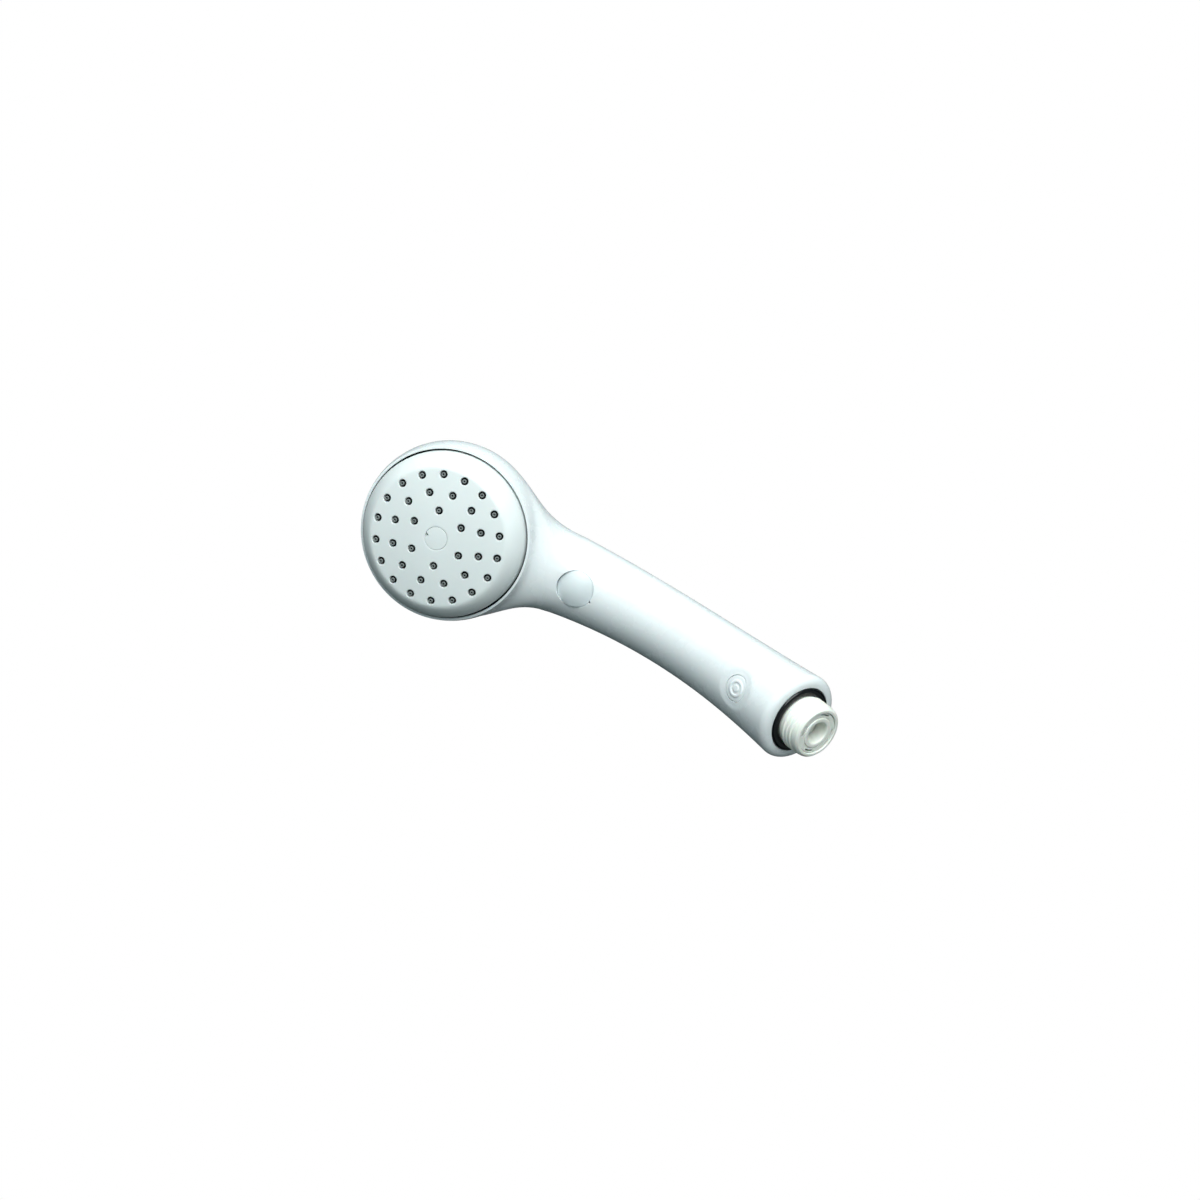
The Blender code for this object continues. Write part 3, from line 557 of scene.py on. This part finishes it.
def make_spray_plate(material):
    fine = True
    hole = CAP_RADIUS + 0.10
    outer = dome_outline(PLATE_RADIUS, 0.0, *BEVEL, -3.0, hole + 0.16, 34 if fine else 12, 14)
    inner = dome_outline(PLATE_RADIUS - 2.5, drop=2.6, across=3.0, along=6.2, floor=-3.0,
                         start=5.2, crown_count=8, edge_count=6)
    lip = [(hole + 0.06, dome(hole) - 0.04), (hole, dome(hole) - 0.14)]
    boss = [(5.2, 4.6), (2.3, 4.6), (2.3, 6.9), (4.0, 6.9), (4.0, 9.9), (hole, 9.9)]
    plate = lathe("spray_face", outer + inner[::-1] + boss + lip[::-1], HEAD_FRAME,
                  168 if fine else 96)
    edge = NOZZLE_HOLE
    profile = [(0, 2.0), (edge + 0.5, 2.0), (edge + 0.5, 0.1), (edge + 0.28, 0.0),
               (edge + 0.12, -0.06), (edge + 0.03, -0.18), (edge, -0.34), (edge, -6), (0, -6)]
    cutters = [lathe("hole", profile, nozzle_frame(*place), 28 if fine else 16, 0.02)
               for place in nozzle_places()]
    cut(plate, join("holes", cutters))
    weighted = plate.modifiers.new("flat faces", "WEIGHTED_NORMAL")
    weighted.keep_sharp = True
    return finish_piece(plate, "handset", ["spray_plate"], material, 34)


def make_nozzles(materials):
    """A near-black sleeve in each hole and a near-black mat behind them, painted shade of the gap
    round each tip, with a grey tip ring round its bore.
    """
    sleeves, tips = [], []
    for place in nozzle_places():
        here = nozzle_frame(*place)
        edge = NOZZLE_HOLE - 0.04
        sleeve = [(NOZZLE_BORE, -0.02), (NOZZLE_TIP - 0.04, -0.02), (NOZZLE_TIP, -1.3),
                  (edge, -1.5), (edge, -3.4), (NOZZLE_BORE, -3.4)]
        sleeves.append(lathe("sleeve", fillet(sleeve, 0.06, 2), here, 24))
        tip = [(NOZZLE_BORE + 0.02, 0.14), (0.55, 0.26), (0.72, 0.24), (NOZZLE_TIP, 0.06),
               (NOZZLE_TIP, -0.35), (NOZZLE_BORE + 0.02, -0.35)]
        tips.append(lathe("tip", fillet(tip, 0.08, 2), here, 24))
    crown = [(r, dome(r, 3.0)) for r in np.linspace(5.6, 26.2, 8)]
    under = [(r, z - 1.5) for r, z in crown]
    sleeves.append(lathe("mat", crown + under[::-1], HEAD_FRAME, 96))
    mat = join("nozzle_sleeves", sleeves)
    finish_piece(mat, "handset", ["nozzle_mat"], materials["nozzle_shade"])
    rings = join("nozzle_tips", tips)
    finish_piece(rings, "handset", [], materials["nozzle_rubber"])


def make_face_seal_and_groove_shade(material):
    """The face seal, widened into black packing under the plate's skirt; the black it shows at the
    bottom of the groove is painted shade of the groove.
    """
    floor = REBATE_FLOOR + 0.1
    edge = REBATE_RADIUS - 0.04
    inner, under = 29.2, -3.1
    outline = fillet([(inner, floor), (edge, floor), (edge, SHADE_PACKING_TOP),
                      (PLATE_RADIUS + 0.1, SHADE_PACKING_TOP), (PLATE_RADIUS - 0.1, under),
                      (inner, under)], 0.15)
    seal = lathe("groove_shade_packing", outline, HEAD_FRAME, 160)
    return finish_piece(seal, "handset", ["face_seal"], material)


def make_screw_cap(material):
    outline = [(0, dome(0), 0), (CAP_RADIUS - 0.12, dome(CAP_RADIUS), 0.1),
               (CAP_RADIUS, dome(CAP_RADIUS) - 0.10, 0.1), (CAP_RADIUS, CAP_FLOOR, 0.1),
               (0, CAP_FLOOR, 0)]
    cap = lathe("cap", fillet(outline, 0.1), HEAD_FRAME, 128)
    notch = lathe("notch", [(0, 13), (1.5, 13), (1.5, 9.8), (0, 9.8)],
                  HEAD_FRAME @ Matrix.Translation(Vector((0, CAP_RADIUS + 0.1, 0)) * MM), 3,
                  math.pi / 6)
    cut(cap, notch)
    return finish_piece(cap, "handset", ["screw_cap"], material)


# ---- Button ----

def make_button(material):
    top, edge_z = BUTTON_TOP, BUTTON_TOP - BUTTON_DOME
    under, skirt, socket = top - 2.6, top - 4.3, top - 3.7
    rim = BUTTON_RADIUS - 0.45
    crown = [(r, top - BUTTON_DOME * (r / BUTTON_RADIUS) ** 2) for r in np.linspace(0, rim, 18)]
    rest = fillet([(*crown[-1], 0), (BUTTON_RADIUS, edge_z - 0.05, 0.3),
                   (BUTTON_RADIUS, skirt, 0.15), (6.3, skirt, 0.15), (6.3, under, 0.2),
                   (3.0, under, 0.2), (3.0, socket, 0.1), (0, socket, 0)], 0.1, closed=False)
    button = lathe("thumb_button", crown + rest[1:], VALVE_FRAME, 128)
    return finish_piece(button, "button", ["push_button"], material)


# ---- Hose connector ----

def make_spigot(material):
    """The spigot: a turned body whose outside carries a real helical thread."""
    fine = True
    around = 128 if fine else 64
    low, high = THREAD_SPAN
    bottom = fillet([(8.3, 3.4, 0), (8.3, 0, 0.3), (9.3, 0, 0.5), (10.1, 0.8, 0.9),
                     (NECK_RADIUS, 1.7, 0)], 0.3, 8, closed=False)
    rings = [[(r, z)] * around for r, z in bottom]
    levels = np.linspace(low + 0.15, high + 1.2, 120 if fine else 60)
    for z in levels:
        ring = []
        for i in range(around):
            phase = ((z / THREAD_PITCH - i / around) % 1.0) * 2 - 1
            ridge = min(max((0.62 - abs(phase)) / 0.42, 0.0), 1.0)
            ridge = ridge * ridge * (3 - 2 * ridge)
            fade = smooth_step((z - low) / 1.4) * smooth_step((high + 0.6 - z) / 0.9)
            base = NECK_RADIUS + (THREAD_ROOT - NECK_RADIUS) * smooth_step((z - low) / 1.2)
            ring.append((base + (SPIGOT_RADIUS - THREAD_ROOT) * ridge * fade, z))
        rings.append(ring)
    tail = fillet([(9.8, 9.8, 0), (9.8, 12.4, 0.2), (12.6, 12.4, 0.3), (12.6, 15.4, 0.3),
                   (11.6, 15.6, 0.1), (11.6, 17.8, 0.1), (9.9, 17.8, 0.2), (9.9, 20.6, 0.2),
                   (11.6, 20.6, 0.1), (11.6, 29.4, 0.2), (11.2, 29.8, 0.1), (8.4, 29.8, 0.2),
                   (8.4, 12.6, 0.1), (6.0, 12.6, 0.2), (6.0, 11.0, 0.1), (8.3, 10.4, 0.1)], 0.1,
                  3, closed=False)
    rings += [[(r, z)] * around for r, z in tail]
    shape = bmesh.new()
    loops = []
    for ring in rings:
        loops.append([shape.verts.new(Vector((r * math.cos(math.tau * i / around),
                                              r * math.sin(math.tau * i / around), z)) * MM)
                      for i, (r, z) in enumerate(ring)])
    for a, b in zip(loops, loops[1:] + loops[:1]):
        for i in range(around):
            j = (i + 1) % around
            shape.faces.new((a[i], a[j], b[j], b[i]))
    spigot = mesh_from("spigot", shape)
    return finish_piece(spigot, "handset", ["hose_nipple"], material, 40)


def make_gasket(material):
    low, high, inner, outer = SPIGOT_LENGTH - 0.9, 12.1, 9.9, RIM_BORE - 0.2
    outline = fillet([(inner, low, 1.2), (outer, low, 1.2), (outer, high, 0.3),
                      (inner, high, 0.2)], 0.2, 10)
    ring = lathe("end_gasket", outline, WORLD, 128)
    return finish_piece(ring, "handset", ["nipple_gasket"], material)


def slot_cutter(inner, outer, low, high, centre, span):
    """A curved slot with straight ends: part of a ring between two angles (mm, degrees)."""
    count = 14
    shape = bmesh.new()
    loops = []
    for radius, z in ((inner, low), (outer, low), (outer, high), (inner, high)):
        loop = []
        for i in range(count):
            angle = math.radians(centre - span / 2 + span * i / (count - 1))
            loop.append(shape.verts.new(Vector((radius * math.cos(angle),
                                                radius * math.sin(angle), z)) * MM))
        loops.append(loop)
    for k in range(4):
        here, after = loops[k], loops[(k + 1) % 4]
        for i in range(count - 1):
            shape.faces.new((here[i], here[i + 1], after[i + 1], after[i]))
    shape.faces.new([loop[0] for loop in loops])
    shape.faces.new([loop[-1] for loop in reversed(loops)])
    return mesh_from("slot", shape)


def make_inlet(materials):
    outline = fillet([(4.3, 0.2, 0.5), (6.0, 0.2, 0.3), (6.0, 0.65, 0.1), (6.4, 0.65, 0.1),
                      (6.6, 0.45, 0.1), (8.15, 0.45, 0.25), (8.15, 3.0, 0.1), (6.2, 3.0, 0.1),
                      (6.2, 9.0, 0.2), (4.3, 9.0, 0.2)], 0.2)
    cage = lathe("inlet_insert", outline, WORLD, 128)
    cut(cage, *[slot_cutter(6.9, 7.7, 0, 4, 90 * k, 34) for k in range(4)])
    finish_piece(cage, "handset", ["inlet_cage"], materials["ivory_pom"])
    outline = fillet([(0, 5.5, 0), (3.9, 5.5, 0.5), (3.9, 13.9, 0.1), (7.0, 13.9, 0.2),
                      (7.0, 15.2, 0.2), (0, 15.2, 0)], 0.1)
    poppet = lathe("inlet_poppet", outline, WORLD, 96)
    finish_piece(poppet, "check_piston", ["check_poppet"],
                 materials["natural_pom"])


# ---- Springs ----

def make_spring(name, node, material):
    """The CAD coil, copied into a mesh of its own."""
    obj = link(name, frame["nodes"][node].data.copy())
    finish_piece(obj, "handset", [node], material, 60)
    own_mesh(obj)
    return obj


def make_springs(material):
    make_spring("button_return_spring", "button_spring",
                material)
    make_spring("check_return_spring", "check_spring",
                material)


def dress_inner_nodes(materials):
    """Materials for the CAD nodes that stay."""
    for entry in frame["record"]["subparts"]:
        node = frame["nodes"][entry["node"]]
        for slot in node.material_slots:
            slot.material = materials[entry["material_slot"]]


# ---- Studio ----

def aim(obj, target):
    """Turn a light to face a point."""
    direction = Vector(target) - obj.location
    obj.rotation_euler = direction.to_track_quat("-Z", "Y").to_euler()


def softbox(name, place, target, size, power, color):
    light = bpy.data.lights.new(name, "AREA")
    light.shape = "RECTANGLE"
    light.size, light.size_y = size
    light.energy = power
    light.color = color
    obj = bpy.data.objects.new(name, light)
    bpy.context.scene.collection.objects.link(obj)
    obj.location = place
    aim(obj, target)
    return obj


def make_camera():
    right, up = Vector(CAMERA_RIGHT), Vector(CAMERA_UP)
    camera = bpy.data.objects.new("camera", bpy.data.cameras.new("camera"))
    bpy.context.scene.collection.objects.link(camera)
    camera.data.lens = CAMERA_LENS
    camera.data.sensor_width = 36.0
    camera.data.clip_start = 0.02
    axes = Matrix((right, up, right.cross(up))).transposed()
    camera.matrix_world = Matrix.Translation(CAMERA_PLACE) @ axes.to_4x4()
    bpy.context.scene.camera = camera


def make_lights():
    """Two softboxes above the camera, and two dim ones behind the part."""
    right, up = Vector(CAMERA_RIGHT), Vector(CAMERA_UP)
    back = right.cross(up)
    middle = Vector(PART_MIDDLE)

    def place(x, y, z):
        """A point given as right, up and toward the photograph's camera, from the part."""
        return middle + right * x + up * y + back * z

    softbox("key", place(0.16, 0.95, 0.30), middle, (0.8, 0.5), 3.4, (1.0, 1.0, 1.0))
    softbox("front", place(0.20, 0.55, 0.84), middle, (0.9, 0.7), 12.6, (0.94, 1.0, 1.0))
    # The rear lights are for the views from the back; they leave no glint on the part's rim.
    for name, spot in (("back left", (-0.55, 0.35, -1.0)), ("back right", (0.5, -0.1, -1.0))):
        light = softbox(name, place(*spot), middle, (0.9, 0.9), 7.0, (0.96, 1.0, 1.0))
        light.visible_glossy = False
        light.visible_camera = False


def make_world():
    """A gradient from dark below to pale above, which shows as plain white behind the part."""
    right, up = Vector(CAMERA_RIGHT), Vector(CAMERA_UP)
    light_from = (up * 0.80 + right.cross(up) * 0.52 - right * 0.30).normalized()
    world = bpy.data.worlds.new("studio")
    bpy.context.scene.world = world
    world.use_nodes = True
    tree = world.node_tree
    direction = tree.nodes.new("ShaderNodeTexCoord")
    height = tree.nodes.new("ShaderNodeVectorMath")
    height.operation = "DOT_PRODUCT"
    height.inputs[1].default_value = light_from
    tree.links.new(direction.outputs["Generated"], height.inputs[0])
    level = tree.nodes.new("ShaderNodeMapRange")
    level.inputs["From Min"].default_value = -1.0
    level.inputs["From Max"].default_value = 1.0
    tree.links.new(height.outputs["Value"], level.inputs["Value"])
    ramp = tree.nodes.new("ShaderNodeValToRGB")
    steps = ramp.color_ramp.elements
    (steps[0].position, steps[0].color), (steps[1].position, steps[1].color) = WORLD_ENDS
    for position, color in WORLD_STEPS:
        steps.new(position).color = color
    tree.links.new(level.outputs["Result"], ramp.inputs["Fac"])
    background = tree.nodes["Background"]
    background.inputs["Strength"].default_value = 0.7
    tree.links.new(ramp.outputs["Color"], background.inputs["Color"])
    white = tree.nodes.new("ShaderNodeBackground")
    white.inputs["Color"].default_value = (1, 1, 1, 1)
    white.inputs["Strength"].default_value = 1.0
    path = tree.nodes.new("ShaderNodeLightPath")
    mix = tree.nodes.new("ShaderNodeMixShader")
    tree.links.new(path.outputs["Is Camera Ray"], mix.inputs["Fac"])
    tree.links.new(background.outputs["Background"], mix.inputs[1])
    tree.links.new(white.outputs["Background"], mix.inputs[2])
    tree.links.new(mix.outputs["Shader"], tree.nodes["World Output"].inputs["Surface"])


def make_floor():
    mesh = bpy.data.meshes.new("floor")
    shape = bmesh.new()
    bmesh.ops.create_grid(shape, x_segments=1, y_segments=1, size=FLOOR_SIZE)
    shape.to_mesh(mesh)
    shape.free()
    floor = link("floor", mesh)
    floor.location.z = FLOOR_Z
    floor.data.materials.append(surface("pale_floor", (0.86, 0.87, 0.87), (0.84, 0.85, 0.85), 0.7,
                                        900, 0.02, tone_scale=6))


materials = make_materials()
dress_inner_nodes(materials)
make_shell(materials["white_shell"])
make_badge(materials["white_shell"])
make_spray_plate(materials["satin_plate"])
make_nozzles(materials)
make_face_seal_and_groove_shade(materials["black_rubber"])
make_screw_cap(materials["satin_plate"])
make_button(materials["white_button"])
make_spigot(materials["ivory_pom"])
make_gasket(materials["black_rubber"])
make_inlet(materials)
make_springs(materials["steel"])
make_camera()
make_lights()
make_world()
make_floor()
bpy.context.scene.view_settings.view_transform = "Standard"
